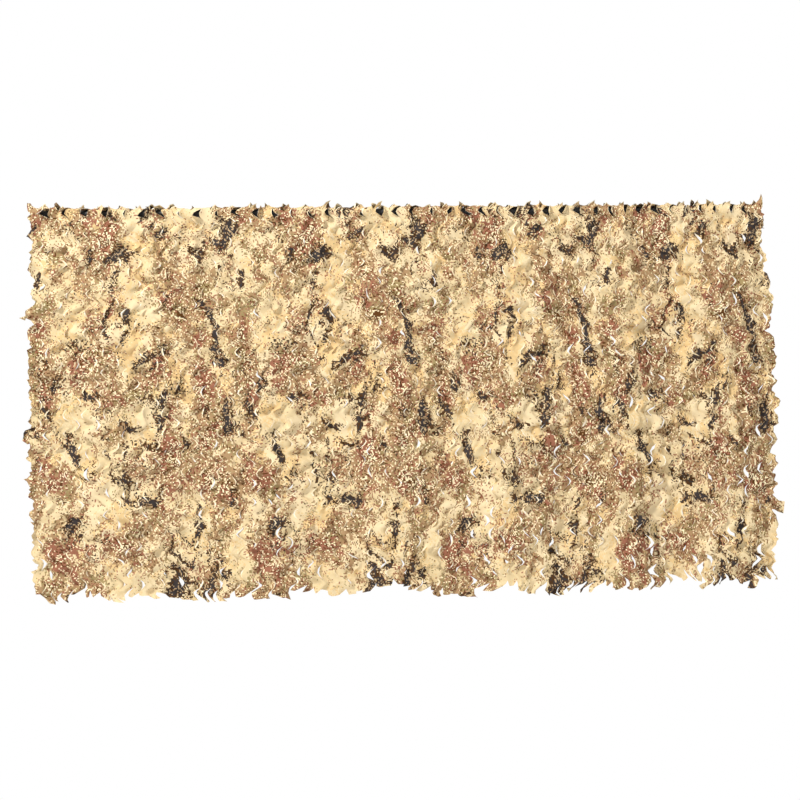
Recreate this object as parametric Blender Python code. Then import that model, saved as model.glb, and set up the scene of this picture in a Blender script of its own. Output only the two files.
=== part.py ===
"""Camouflage netting turned over a plain round pole: one sheet of cut cloth and the pole.

The pole lies along X with its middle at the origin, and the netting hangs below it, facing -Y.
A place on the cloth is given by its column, counted in strips from the left edge, and its path,
the way along the cloth in metres from the top of the pole, positive down the front."""

import math

import bmesh
import bpy
import numpy as np
from mathutils.geometry import delaunay_2d_cdt

# Pole
POLE_DIAMETER = 0.025
POLE_LENGTH = 2.52
POLE_SIDES = 32
POLE_CHAMFER = 0.001

# Cloth and its cuts
CLOTH_THICKNESS = 0.002
POLE_CLEARANCE = 0.004
WRAP_RADIUS = POLE_DIAMETER / 2 + POLE_CLEARANCE + CLOTH_THICKNESS / 2
QUARTER = WRAP_RADIUS * math.pi / 2  # path from the pole's top to its foremost line
STRIPS = 86  # strips of cloth between neighbouring columns of cuts
STRIP_WIDTH = 0.0297  # of one strip as it hangs
ROW_PITCH = 0.070  # from one cut to the next in its column; the columns between sit half a pitch lower
CUT_LENGTH = 0.050
CUT_SWAY = 0.009  # how far the wavy line of the cuts swings to each side
BACK_FALL = 0.075  # what hangs down behind the pole
HEM_ROOM = 0.028  # least cloth between a cut and the hem's tips
BACK_ROOM = 0.012  # least cloth between a cut and the edge behind the pole
GATHER = 0.125  # the strips are this much wider than average at the left and narrower at the right

# How loose a cut lies, from 0, shut, to 1, wide open: shares of luck, of being near the hem, of being
# low, and of being near a side, which fades over so many strips
LOOSE_LUCK = 0.64
LOOSE_HEM = 0.26
LOOSE_LOW = 0.06
LOOSE_SIDE = 0.12
SIDE_FADE = 2.5

# Openings: every second cut of the row over the pole, then the loosest of the rest
OPENINGS = 300
OPENING_HALF = 0.0065  # half the width of the loosest opening
WINDOW_HALF = 0.010  # half the width of the openings over the pole
CURL = 0.014  # how far the lips of the loosest opening stand forward and back
CRUMPLE = 0.008  # how far the cloth between the openings stands forward and back
ROUND_LIP = (
    # share of half the cut's length above its middle, share of half the opening's width
    (0.40, 1.0),
    (-0.40, 1.0),
)
FLAT_LIP = (
    # share of half the cut's length above its middle, share of half the opening's width
    (0.05, 0.8),
)
WINDOW = (
    # share of half the opening's width to the right, path, share of the curl
    (0.0, 0.0, 0.0),
    (0.8, QUARTER / 2, 0.35),
    (1.0, QUARTER + 0.006, 0.45),
    (0.0, QUARTER + CUT_LENGTH / 2, 0.0),
    (-1.0, QUARTER + 0.006, 0.35),
    (-0.8, QUARTER / 2, 0.30),
)

# The cloth's side edges, hem and folds
SIDE_EDGES = (
    # drop below the pole, left edge, right edge
    (0.00, -1.284, 1.272),
    (0.10, -1.286, 1.272),
    (0.25, -1.286, 1.298),
    (0.45, -1.295, 1.304),
    (0.62, -1.296, 1.318),
    (0.95, -1.296, 1.316),
    (1.15, -1.292, 1.312),
    (1.30, -1.278, 1.314),
)
HEM = (
    # share of the width from the left, drop of the hem's tips
    (0.00, 1.335),
    (0.02, 1.378),
    (0.05, 1.352),
    (0.08, 1.346),
    (0.105, 1.374),
    (0.13, 1.352),
    (0.16, 1.366),
    (0.18, 1.348),
    (0.24, 1.370),
    (0.285, 1.346),
    (0.32, 1.366),
    (0.37, 1.340),
    (0.43, 1.352),
    (0.475, 1.312),
    (0.55, 1.354),
    (0.59, 1.356),
    (0.645, 1.320),
    (0.70, 1.360),
    (0.73, 1.338),
    (0.82, 1.334),
    (0.88, 1.298),
    (0.905, 1.330),
    (0.935, 1.306),
    (0.96, 1.330),
    (1.00, 1.296),
)
FOLDS = (
    # share of the width from the left, half width, how far it stands forward at the top and at the hem,
    # how far it wanders right on the way down
    (0.03, 0.10, 0.006, -0.014, 0.02),
    (0.11, 0.13, 0.004, 0.024, 0.03),
    (0.21, 0.14, -0.006, -0.016, -0.02),
    (0.31, 0.12, 0.006, 0.020, 0.02),
    (0.40, 0.15, -0.004, -0.022, -0.03),
    (0.49, 0.12, 0.008, 0.026, 0.02),
    (0.57, 0.11, -0.008, -0.020, 0.02),
    (0.65, 0.12, 0.010, 0.034, -0.02),
    (0.72, 0.09, -0.010, -0.024, 0.01),
    (0.79, 0.10, 0.012, 0.040, 0.02),
    (0.86, 0.09, -0.012, -0.030, 0.02),
    (0.93, 0.09, 0.012, 0.038, 0.01),
    (0.99, 0.07, -0.008, -0.018, 0.01),
)
FOLD_ROUNDNESS = 1.6  # how soon a fold falls off from its middle, for its half width
FOLD_RISE = 0.28  # drop over which the folds open out below the pole
FULL_DROP = 1.36

# The ragged edge: leaves between notches
SIDE_TIPS = (0.055, 1.2725)  # paths between which the side edges are ragged
SIDE_OUT = (0.05, 0.40)  # least and most strips that a side leaf sticks out
SIDE_IN = (0.0, 0.25)  # least and most strips that the edge draws in between them
HEM_NOTCH = (0.010, 0.030)  # least and most depth of the notches between the hem's tips
HEM_SPREAD = 0.008  # how much shorter a hem leaf may be
HEM_TIP = (0.35, 0.65)  # where its tip lies across its strip
HEM_CORNER = (0.3, 0.035)  # the hem's left corner: strips in, path above the tips
BACK_NOTCH = 0.016  # most depth of the notches in the edge behind the pole

# Leaves that stick out past the two top corners: strips outwards, path, how far it stands up
LEFT_TUFT = (0.7, -0.004, 0.018)
RIGHT_TUFT = (0.1, 0.002, 0.028)

# Points between the openings
INNER_COLUMNS = 3.0
INNER_ROW = 0.078
INNER_START = 0.075  # drop of the first row
TOP_ROWS = (
    # path, first column of every second one
    (-QUARTER, 2),
    (-QUARTER / 2, 2),
    (0.0, 1),
    (QUARTER / 2, 1),
    (QUARTER, 1),
    (QUARTER + 0.03, 1),
)
OVER_MARGIN = 0.01  # the cloth counts as over the pole this far past the lines where it leaves it
ROOM_OVER = 0.006  # least distance of these points from the openings and the edge, over the pole
ROOM_BELOW = 0.017  # and below it
OVER_SPREAD = 2.2  # how much further apart rows over the pole count when triangles are made
SAME_PLACE = 1e-7

SMALL_STEP = 0.05  # of a strip, to find which way the cloth faces

SEED = 11


def smooth(value):
    """0 to 1 with a soft start and a soft end."""
    value = np.clip(value, 0.0, 1.0)
    return value * value * (3 - 2 * value)


def between(span, share):
    """The value at a share of the way along a span from its least to its most."""
    return span[0] + (span[1] - span[0]) * share


def table_value(rows, at, entry):
    """An entry of a table's rows, read between them at a value of the first entry."""
    steps = [row[0] for row in rows]
    return np.interp(at, steps, [row[entry] for row in rows])


def share_across(column):
    """Where a column hangs, as a share of the cloth's width."""
    share = column / STRIPS
    return share + GATHER * np.sin(math.pi * share) / math.pi


def fold_depth(share, drop):
    """How far the cloth stands forward of the pole's front."""
    down = smooth(drop / FULL_DROP)
    width = STRIPS * STRIP_WIDTH
    total = 0.0
    for middle, half, top, hem, wander in FOLDS:
        off = (share - middle) * width - wander * down
        total = total + (top + (hem - top) * down) * np.exp(-((off / half) ** 2) * FOLD_ROUNDNESS)
    return total * smooth(drop / FOLD_RISE)


def hung(column, path):
    """The middle of the cloth at a column and a path, as X, Y and Z."""
    column, path = np.asarray(column, float), np.asarray(path, float)
    drop = np.maximum(path - QUARTER, 0.0)
    behind = np.maximum(-path - QUARTER, 0.0)
    turn = np.clip(path, -QUARTER, QUARTER) / WRAP_RADIUS
    share = share_across(column)
    low = drop + behind
    left = table_value(SIDE_EDGES, low, 1)
    right = table_value(SIDE_EDGES, low, 2)
    sway = CUT_SWAY * np.cos(2 * math.pi * (path - QUARTER) / ROW_PITCH)
    x = left + (right - left) * share - sway
    y = -WRAP_RADIUS * np.sin(turn) - fold_depth(share, drop)
    z = WRAP_RADIUS * np.cos(turn) - low
    return x, y, z


def hem_path(column):
    """The path at which the hem's tips end, at a column."""
    return QUARTER + table_value(HEM, share_across(column), 1)


def cuts():
    """Every cut as its column, path, looseness from 0 to 1, and which of its sides stands forward."""
    draw = np.random.default_rng(SEED)
    found = []
    for column in range(1, STRIPS):
        start = QUARTER + (column % 2) * ROW_PITCH / 2
        first = 1 - math.ceil((start + QUARTER + BACK_FALL) / ROW_PITCH)
        lowest = hem_path(column) - HEM_ROOM - CUT_LENGTH / 2
        highest = -QUARTER - BACK_FALL + BACK_ROOM + CUT_LENGTH / 2
        for step in range(first, int(FULL_DROP / ROW_PITCH) + 2):
            path = start + step * ROW_PITCH
            luck, lean = draw.random(2)
            if highest <= path <= lowest:
                low = max(path, 0.0) / FULL_DROP
                side = math.exp(-min(column, STRIPS - column) / SIDE_FADE)
                loose = LOOSE_LUCK * luck + LOOSE_HEM * low**4 + LOOSE_LOW * low + LOOSE_SIDE * side
                found.append((column, path, min(loose, 1.0), 1 if lean > 0.5 else -1))
    return found


def openings():
    """The cuts that are wide enough to be cut through: the row over the pole, then the loosest."""
    every = cuts()
    windows = [cut for cut in every if abs(cut[1] - QUARTER) < SAME_PLACE]
    others = [cut for cut in every if cut[1] > QUARTER + SAME_PLACE]
    others.sort(key=lambda cut: -cut[2])
    return windows, others[: OPENINGS - len(windows)]


def outline():
    """The cloth's ragged edge as (column, path, stand) points, in order round it."""
    draw = np.random.default_rng(SEED + 1)
    points = [(HEM_CORNER[0], hem_path(0) - HEM_CORNER[1], 0.0)]
    for strip in range(STRIPS):
        notch, tip, skew, curl = draw.random(4)
        if strip:
            points.append((strip, hem_path(strip) - between(HEM_NOTCH, notch), 0.0))
        low = hem_path(strip + 0.5) - HEM_SPREAD * tip
        points.append((strip + between(HEM_TIP, skew), low, CURL * (curl - 0.5)))
    highest, lowest = SIDE_TIPS
    steps = int((lowest - highest) / (ROW_PITCH / 2))
    sides = []
    for side in range(2):
        sides.append([])
        for step in range(steps):
            tip, path = draw.random(), lowest - step * (lowest - highest) / steps
            gap = between(SIDE_OUT, tip) if step % 2 == side else -between(SIDE_IN, tip)
            sides[side].append((gap, path))
    right, left = sides
    points += [(STRIPS + gap, path, 0.0) for gap, path in right]
    points += [(STRIPS, path, 0.0) for path in (QUARTER, QUARTER / 2)]
    points += [(STRIPS + RIGHT_TUFT[0], RIGHT_TUFT[1], RIGHT_TUFT[2])]
    points += [(STRIPS, path, 0.0) for path in (-QUARTER / 2, -QUARTER)]
    for step in range(STRIPS // 2, -1, -1):
        rise = BACK_NOTCH * draw.random() if step % 2 else 0.0
        points.append((2 * step, -QUARTER - BACK_FALL + rise, 0.0))
    points += [(0, path, 0.0) for path in (-QUARTER, -QUARTER / 2)]
    points += [(-LEFT_TUFT[0], LEFT_TUFT[1], LEFT_TUFT[2])]
    points += [(0, path, 0.0) for path in (QUARTER / 2, QUARTER)]
    points += [(-gap, path, 0.0) for gap, path in reversed(left)]
    return points


def opening_points(cut):
    """The corners of an opening round its cut, as (column, path, curl), going down its right side.

    The side that the cutting line swings towards is the rounder one."""
    column, path, loose, lean = cut
    width = OPENING_HALF * (1 + loose) / 2 / STRIP_WIDTH
    end = CUT_LENGTH / 2
    curl = CURL * lean * loose
    right, left = (ROUND_LIP, FLAT_LIP) if column % 2 else (FLAT_LIP, ROUND_LIP)
    corners = [(column, path - end, 0.0)]
    corners += [(column + width * out, path + end * down, curl) for down, out in reversed(right)]
    corners += [(column, path + end, 0.0)]
    corners += [(column - width * out, path + end * down, -curl) for down, out in left]
    return corners


def window_points(cut):
    """The corners of an opening over the pole, whose lips stand off it and follow it round."""
    width = WINDOW_HALF / STRIP_WIDTH
    return [(cut[0] + width * out, path, CURL * curl) for out, path, curl in WINDOW]


def inside(points, loop):
    """Which of the points lie inside a closed loop, both as arrays of flat places."""
    x, y = points[:, 0][:, None], points[:, 1][:, None]
    ax, ay = loop[:, 0], loop[:, 1]
    bx, by = np.roll(ax, -1), np.roll(ay, -1)
    spans = (ay <= y) != (by <= y)
    with np.errstate(divide="ignore", invalid="ignore"):
        crossing = ax + (y - ay) * (bx - ax) / (by - ay)
    return (spans & (x < crossing)).sum(axis=1) % 2 == 1


def flat(points):
    """Flat places for making triangles, with the path over the pole spread out."""
    over = np.clip(points[:, 1], -QUARTER, QUARTER)
    return np.column_stack([points[:, 0] * STRIP_WIDTH, points[:, 1] + OVER_SPREAD * over])


def inner_points(loops, edge):
    """Points between the openings that carry the folds, the crumple and the turn over the pole."""
    draw = np.random.default_rng(SEED + 2)
    grid = []
    for step, path in enumerate(np.arange(QUARTER + INNER_START, QUARTER + FULL_DROP, INNER_ROW)):
        shift = INNER_COLUMNS / 2 * (step % 2)
        for column in np.arange(INNER_COLUMNS / 2 + shift, STRIPS, INNER_COLUMNS):
            grid.append((column, path, CRUMPLE * (2 * draw.random() - 1)))
    grid += [(column, path, 0.0) for path, first in TOP_ROWS for column in range(first, STRIPS, 2)]
    grid = np.array(grid)
    place = flat(grid)
    keep = inside(place, edge)
    corners = np.concatenate([edge] + loops)
    over = np.abs(grid[:, 1]) <= QUARTER + OVER_MARGIN
    room = np.where(over, ROOM_OVER, ROOM_BELOW)
    for index in np.flatnonzero(keep):
        keep[index] = np.hypot(*(corners - place[index]).T).min() > room[index]
    return grid[keep]


def cloth_sheet():
    """The cloth's points as (column, path, stand), and its triangles, with the openings left out."""
    windows, others = openings()
    rings = [outline()]
    rings += [window_points(cut) for cut in windows]
    rings += [opening_points(cut) for cut in others]
    loops = [flat(np.array(ring)) for ring in rings]
    points = np.concatenate([np.array(ring) for ring in rings])
    points = np.concatenate([points, inner_points(loops[1:], loops[0])])
    borders, first = [], 0
    for ring in rings:
        ids = list(range(first, first + len(ring)))
        borders += list(zip(ids, ids[1:] + ids[:1]))
        first += len(ring)
    spots = flat(points)
    made = delaunay_2d_cdt([tuple(spot) for spot in spots], borders, [], 0, SAME_PLACE, True)
    origin = np.array([ids[0] for ids in made[3]])
    triangles = origin[np.array(made[2])]
    middles = spots[triangles].mean(axis=1)
    keep = inside(middles, loops[0])
    for loop in loops[1:]:
        near = ((middles >= loop.min(axis=0)) & (middles <= loop.max(axis=0))).all(axis=1)
        keep[near] &= ~inside(middles[near], loop)
    return points, triangles[keep]


def lift(points):
    """The points in space: the hung cloth, and from it each point's stand, forwards or off the pole."""
    column, path, stand = points.T
    place = np.column_stack(hung(column, path))
    ahead = np.column_stack(hung(column + SMALL_STEP, path)) - place
    forward = np.column_stack([ahead[:, 1], -ahead[:, 0], 0 * path])
    forward /= np.linalg.norm(forward, axis=1)[:, None]
    turn = path / WRAP_RADIUS
    round_pole = np.column_stack([0 * turn, -np.sin(turn), np.cos(turn)])
    over = (np.abs(path) < QUARTER + OVER_MARGIN)[:, None]
    return place + stand[:, None] * np.where(over, round_pole, forward)


def material(name, colour, roughness, metallic=0.0):
    made = bpy.data.materials.new(name)
    made.use_nodes = True
    shader = made.node_tree.nodes["Principled BSDF"]
    shader.inputs["Base Color"].default_value = (*colour, 1.0)
    shader.inputs["Roughness"].default_value = roughness
    shader.inputs["Metallic"].default_value = metallic
    return made


def build_netting():
    points, triangles = cloth_sheet()
    mesh = bpy.data.meshes.new("netting")
    mesh.from_pydata(lift(points).tolist(), [], triangles.tolist())
    shape = bmesh.new()
    shape.from_mesh(mesh)
    bmesh.ops.delete(shape, geom=[v for v in shape.verts if not v.link_faces], context="VERTS")
    bmesh.ops.recalc_face_normals(shape, faces=shape.faces)
    shape.to_mesh(mesh)
    shape.free()
    mesh.shade_smooth()
    netting = bpy.data.objects.new("netting", mesh)
    bpy.context.scene.collection.objects.link(netting)
    mesh.materials.append(material("printed cloth", (0.60, 0.44, 0.27), 0.9))
    wall = netting.modifiers.new("thickness", "SOLIDIFY")
    wall.thickness = CLOTH_THICKNESS
    wall.offset = 0.0
    return netting


def build_pole():
    shape = bmesh.new()
    bmesh.ops.create_cone(
        shape,
        cap_ends=True,
        segments=POLE_SIDES,
        radius1=POLE_DIAMETER / 2,
        radius2=POLE_DIAMETER / 2,
        depth=POLE_LENGTH,
    )
    rims = [e for e in shape.edges if abs(e.verts[0].co.z - e.verts[1].co.z) < SAME_PLACE]
    bmesh.ops.bevel(shape, geom=rims, offset=POLE_CHAMFER, segments=1, affect="EDGES")
    mesh = bpy.data.meshes.new("pole")
    shape.to_mesh(mesh)
    shape.free()
    mesh.shade_smooth()
    mesh.set_sharp_from_angle(angle=math.radians(40))
    pole = bpy.data.objects.new("pole", mesh)
    bpy.context.scene.collection.objects.link(pole)
    mesh.materials.append(material("black paint", (0.012, 0.012, 0.013), 0.45))
    pole.rotation_euler = (0.0, math.pi / 2, 0.0)
    return pole


def main():
    for obj in list(bpy.data.objects):
        bpy.data.objects.remove(obj, do_unlink=True)
    build_pole()
    build_netting()


main()
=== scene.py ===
"""The look of the camouflage netting and its pole.

The netting is one sheet of printed cloth with staggered rows of curved cuts, turned over the pole.
It is made flat, as columns and rows of small faces that part along each cut, hung in the folds of its
solid, and then a node tree curls the lips of the cuts. A place on the cloth is given by its column,
counted in strips from the left edge, and its path, the way along it in metres from the pole's top,
positive down the front."""

import math

import bpy
import numpy as np
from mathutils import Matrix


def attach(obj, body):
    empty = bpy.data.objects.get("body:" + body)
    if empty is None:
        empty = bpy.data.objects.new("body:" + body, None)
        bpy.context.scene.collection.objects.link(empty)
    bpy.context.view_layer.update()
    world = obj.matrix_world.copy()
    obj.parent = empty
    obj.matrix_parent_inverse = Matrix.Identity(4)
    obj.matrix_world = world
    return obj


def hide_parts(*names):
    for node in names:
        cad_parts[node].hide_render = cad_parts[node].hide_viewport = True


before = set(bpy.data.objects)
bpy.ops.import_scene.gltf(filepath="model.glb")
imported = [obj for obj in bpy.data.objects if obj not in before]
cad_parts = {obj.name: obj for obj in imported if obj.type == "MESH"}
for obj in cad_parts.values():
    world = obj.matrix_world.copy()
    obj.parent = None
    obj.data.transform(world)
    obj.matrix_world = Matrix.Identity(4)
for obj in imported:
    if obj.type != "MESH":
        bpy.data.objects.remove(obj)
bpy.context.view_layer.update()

# Pole, cloth and cuts, in metres, as in the part's source but for the sway of the cuts
WRAP_RADIUS = 0.0175  # from the pole's axis to the middle of the cloth over it
QUARTER = WRAP_RADIUS * math.pi / 2  # path from the pole's top to its foremost line
STRIPS = 86  # strips of cloth between neighbouring columns of cuts
ROW_PITCH = 0.070  # from one cut to the next in its column; the columns between sit half a pitch lower
CUT_LENGTH = 0.050
CUT_SWAY = 0.0135  # the solid's is 0.009, but curled lips hide some of it
BACK_FALL = 0.075  # what hangs down behind the pole
HEM_ROOM = 0.028  # least cloth between a cut and the hem's tips
BACK_ROOM = 0.012  # least cloth between a cut and the edge behind the pole
GATHER = 0.125  # the strips are this much wider than average at the left and narrower at the right
FULL_DROP = 1.36  # below the pole, the level taken for the hem's
HUNG_WIDTH = 2.554

# How loose a cut lies, from 0, shut, to 1, wide open: shares of luck, of being near the hem, of being
# low, and of being near a side, which fades over so many strips
LOOSE_LUCK = 0.64
LOOSE_HEM = 0.26
LOOSE_LOW = 0.06
LOOSE_SIDE = 0.12
NEAR_HEM = 4  # power of the height, so that only the lowest cuts count as near the hem
SIDE_FADE = 2.5
EVEN_CHANCE = 0.5

# The cloth's side edges, hem and folds
SIDE_EDGES = (
    # drop below the pole, left edge, right edge
    (0.00, -1.284, 1.272),
    (0.10, -1.286, 1.272),
    (0.25, -1.286, 1.298),
    (0.45, -1.295, 1.304),
    (0.62, -1.296, 1.318),
    (0.95, -1.296, 1.316),
    (1.15, -1.292, 1.312),
    (1.30, -1.278, 1.314),
)
HEM = (
    # share of the width from the left, drop of the hem's tips
    (0.00, 1.335),
    (0.02, 1.378),
    (0.05, 1.352),
    (0.08, 1.346),
    (0.105, 1.374),
    (0.13, 1.352),
    (0.16, 1.366),
    (0.18, 1.348),
    (0.24, 1.370),
    (0.285, 1.346),
    (0.32, 1.366),
    (0.37, 1.340),
    (0.43, 1.352),
    (0.475, 1.312),
    (0.55, 1.354),
    (0.59, 1.356),
    (0.645, 1.320),
    (0.70, 1.360),
    (0.73, 1.338),
    (0.82, 1.334),
    (0.88, 1.298),
    (0.905, 1.330),
    (0.935, 1.306),
    (0.96, 1.330),
    (1.00, 1.296),
)
FOLDS = (
    # share of the width from the left, half width, how far it stands forward at the top and at the hem,
    # how far it wanders right on the way down
    (0.03, 0.10, 0.006, -0.014, 0.02),
    (0.11, 0.13, 0.004, 0.024, 0.03),
    (0.21, 0.14, -0.006, -0.016, -0.02),
    (0.31, 0.12, 0.006, 0.020, 0.02),
    (0.40, 0.15, -0.004, -0.022, -0.03),
    (0.49, 0.12, 0.008, 0.026, 0.02),
    (0.57, 0.11, -0.008, -0.020, 0.02),
    (0.65, 0.12, 0.010, 0.034, -0.02),
    (0.72, 0.09, -0.010, -0.024, 0.01),
    (0.79, 0.10, 0.012, 0.040, 0.02),
    (0.86, 0.09, -0.012, -0.030, 0.02),
    (0.93, 0.09, 0.012, 0.038, 0.01),
    (0.99, 0.07, -0.008, -0.018, 0.01),
)
FOLD_ROUNDNESS = 1.6  # how soon a fold falls off from its middle, for its half width
FOLD_RISE = 0.28  # drop over which the folds open out below the pole
SIDE_TIPS = (0.055, 1.2725)  # paths between which the side edges are ragged
SIDE_OUT = (0.05, 0.40)  # least and most strips that a side leaf sticks out
SIDE_IN = (0.0, 0.25)  # least and most strips that the edge draws in between them
HEM_NOTCH = (0.010, 0.030)  # least and most depth of the notches between the hem's tips
HEM_SPREAD = 0.008  # how much shorter a hem leaf may be
HEM_TIP = (0.35, 0.65)  # where its tip lies across its strip
BACK_NOTCH = 0.016  # most depth of the notches in the edge behind the pole
SAME_PLACE = 0.001  # paths closer than this count as the same
MIDDLE = 0.5  # of a strip's width, and of a noise's values

# The cloth before it was hung
FLAT_SIZE = (3.0, 1.5)
STRIP_FLAT = FLAT_SIZE[0] / STRIPS

# Faces: across a strip, and down half a pitch, with a row at each end of the cuts
CELLS = 5
ROW_STEPS = (0.0, 0.010, 0.0175, 0.025)
HALF_PITCHES = (-4, 41)  # from the pole's foremost line up and round behind it, and down past the hem
UV_MARGIN = 1.5  # strips left free at each side of the flat layout

# One seed for each set of random draws
CUT_SEED = 11
BORDER_SEED = 12
CURL_SEED = 14
RELIEF_SEED = 15
LEAF_SEED = 16


def smooth(value):
    """0 to 1 with a soft start and a soft end."""
    value = np.clip(value, 0.0, 1.0)
    return value * value * (3 - 2 * value)


def between(span, share):
    """The value at a share of the way along a span from its least to its most."""
    return span[0] + (span[1] - span[0]) * share


def table_value(rows, at, entry):
    """An entry of a table's rows, read between them at a value of the first entry."""
    steps = [row[0] for row in rows]
    return np.interp(at, steps, [row[entry] for row in rows])


def share_across(column):
    """Where a column hangs, as a share of the cloth's width."""
    share = column / STRIPS
    return share + GATHER * np.sin(math.pi * share) / math.pi


def fold_depth(share, drop):
    """How far the cloth stands forward of the pole's front."""
    down = smooth(drop / FULL_DROP)
    total = 0.0
    for middle, half, top, hem, wander in FOLDS:
        off = (share - middle) * HUNG_WIDTH - wander * down
        total = total + (top + (hem - top) * down) * np.exp(-((off / half) ** 2) * FOLD_ROUNDNESS)
    return total * smooth(drop / FOLD_RISE)


def sway(path):
    """How far the lines of the cuts swing to the left at a path."""
    return CUT_SWAY * np.cos(2 * math.pi * (path - QUARTER) / ROW_PITCH)


def hung(column, path):
    """The middle of the cloth at a column and a path."""
    drop = np.maximum(path - QUARTER, 0.0)
    behind = np.maximum(-path - QUARTER, 0.0)
    turn = np.clip(path, -QUARTER, QUARTER) / WRAP_RADIUS
    share = share_across(column)
    low = drop + behind
    left = table_value(SIDE_EDGES, low, 1)
    right = table_value(SIDE_EDGES, low, 2)
    x = left + (right - left) * share - sway(path)
    y = -WRAP_RADIUS * np.sin(turn) - fold_depth(share, drop)
    z = WRAP_RADIUS * np.cos(turn) - low
    return np.stack([x, y, z], axis=-1)


def hem_path(column):
    """The path at which the hem's tips end, at a column."""
    return QUARTER + table_value(HEM, share_across(column), 1)


def cuts():
    """Every cut as its column, path, looseness from 0 to 1, and which of its sides stands forward."""
    draw = np.random.default_rng(CUT_SEED)
    found = []
    for column in range(1, STRIPS):
        start = QUARTER + (column % 2) * ROW_PITCH / 2
        first = 1 - math.ceil((start + QUARTER + BACK_FALL) / ROW_PITCH)
        lowest = hem_path(column) - HEM_ROOM - CUT_LENGTH / 2
        highest = -QUARTER - BACK_FALL + BACK_ROOM + CUT_LENGTH / 2
        for step in range(first, int(FULL_DROP / ROW_PITCH) + 2):
            path = start + step * ROW_PITCH
            luck, lean = draw.random(2)
            if highest <= path <= lowest:
                low = max(path, 0.0) / FULL_DROP
                side = math.exp(-min(column, STRIPS - column) / SIDE_FADE)
                loose = LOOSE_LUCK * luck + LOOSE_HEM * low**NEAR_HEM
                loose = loose + LOOSE_LOW * low + LOOSE_SIDE * side
                forward = 1 if lean > EVEN_CHANCE else -1
                found.append((column, path, min(loose, 1.0), forward))
    return found


def border():
    """The hem's notches by column, its tips and where they lie by strip, and the paths and reaches of the
    leaves of the left and right side, and the rise of the edge behind the pole at every second column."""
    draw = np.random.default_rng(BORDER_SEED)
    hem = draw.random((STRIPS, 4))
    columns = np.arange(STRIPS)
    notches = hem_path(columns) - between(HEM_NOTCH, hem[:, 0])
    tips = hem_path(columns + MIDDLE) - HEM_SPREAD * hem[:, 1]
    highest, lowest = SIDE_TIPS
    steps = int((lowest - highest) / (ROW_PITCH / 2))
    paths = lowest - np.arange(steps) * (lowest - highest) / steps
    tip = draw.random((2, steps))
    out = np.arange(steps) % 2 == np.arange(2)[:, None]
    right, left = np.where(out, between(SIDE_OUT, tip), -between(SIDE_IN, tip))
    rises = [BACK_NOTCH * draw.random() if step % 2 else 0.0 for step in range(STRIPS // 2, -1, -1)]
    return notches, tips, between(HEM_TIP, hem[:, 2]), paths, left, right, rises[::-1]


# How the cuts gape: an angle for a shut cut's forward lip and for the loosest one's, in degrees
SHUT_CURL = 60
LOOSE_CURL = 112
LOOSE_POWER = 7  # how much rarer wide gapes are than narrow ones
EDGE_SHARE = 0.5  # the lip outside the curve of the cut bends the other way by this share
CURL_REACH = (0.35, 0.85)  # how much of a strip's width bends with its lip
OVERLAP = (0.001, 0.015)  # how far the lips of a shut cut lie over each other, or stand apart
LIP_SKEW = 0.45  # how far from a cut's middle its widest place may lie, in half lengths of the cut
LIP_POINT = (0.8, 5.0)  # how pointed a lip is, from a full round one to a narrow one
HINGE_TILT = 0.6  # by how much more a lip may bend at one end than at the other
LIP_LUCK = (0.1, 1.55)  # by how much one lip differs from the next
WINDOW_CURL = (40, 175)  # both lips of a cut over the pole bend off it, between these
WINDOW_REACH = (0.35, 1.0)  # how much of the strip's width bends with them
OVER_POLE_CURL = (30, 150)  # lips at the pole's top
OVER_POLE_SKEW = 0.4  # and how much nearer to the front their widest place lies, at least
BEHIND_CURL = (10, 55)  # lips behind the pole
BEHIND_TOP = -0.012  # path at which the cloth is taken to hang behind the pole
PALE_RIM = (0.3, 2.0)  # how much of the pale edge, partly raw cloth and partly painted highlight, shows along a cut
BACKWARD_BELOW = (0.02, 0.07)  # how far below the pole lips begin to bend backwards, and how soon fully
BACKWARD_BEHIND = 0.4  # share by which they do so behind it
CUT_INSIDE = 0.99  # share of a cut's length in which its rows part

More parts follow.
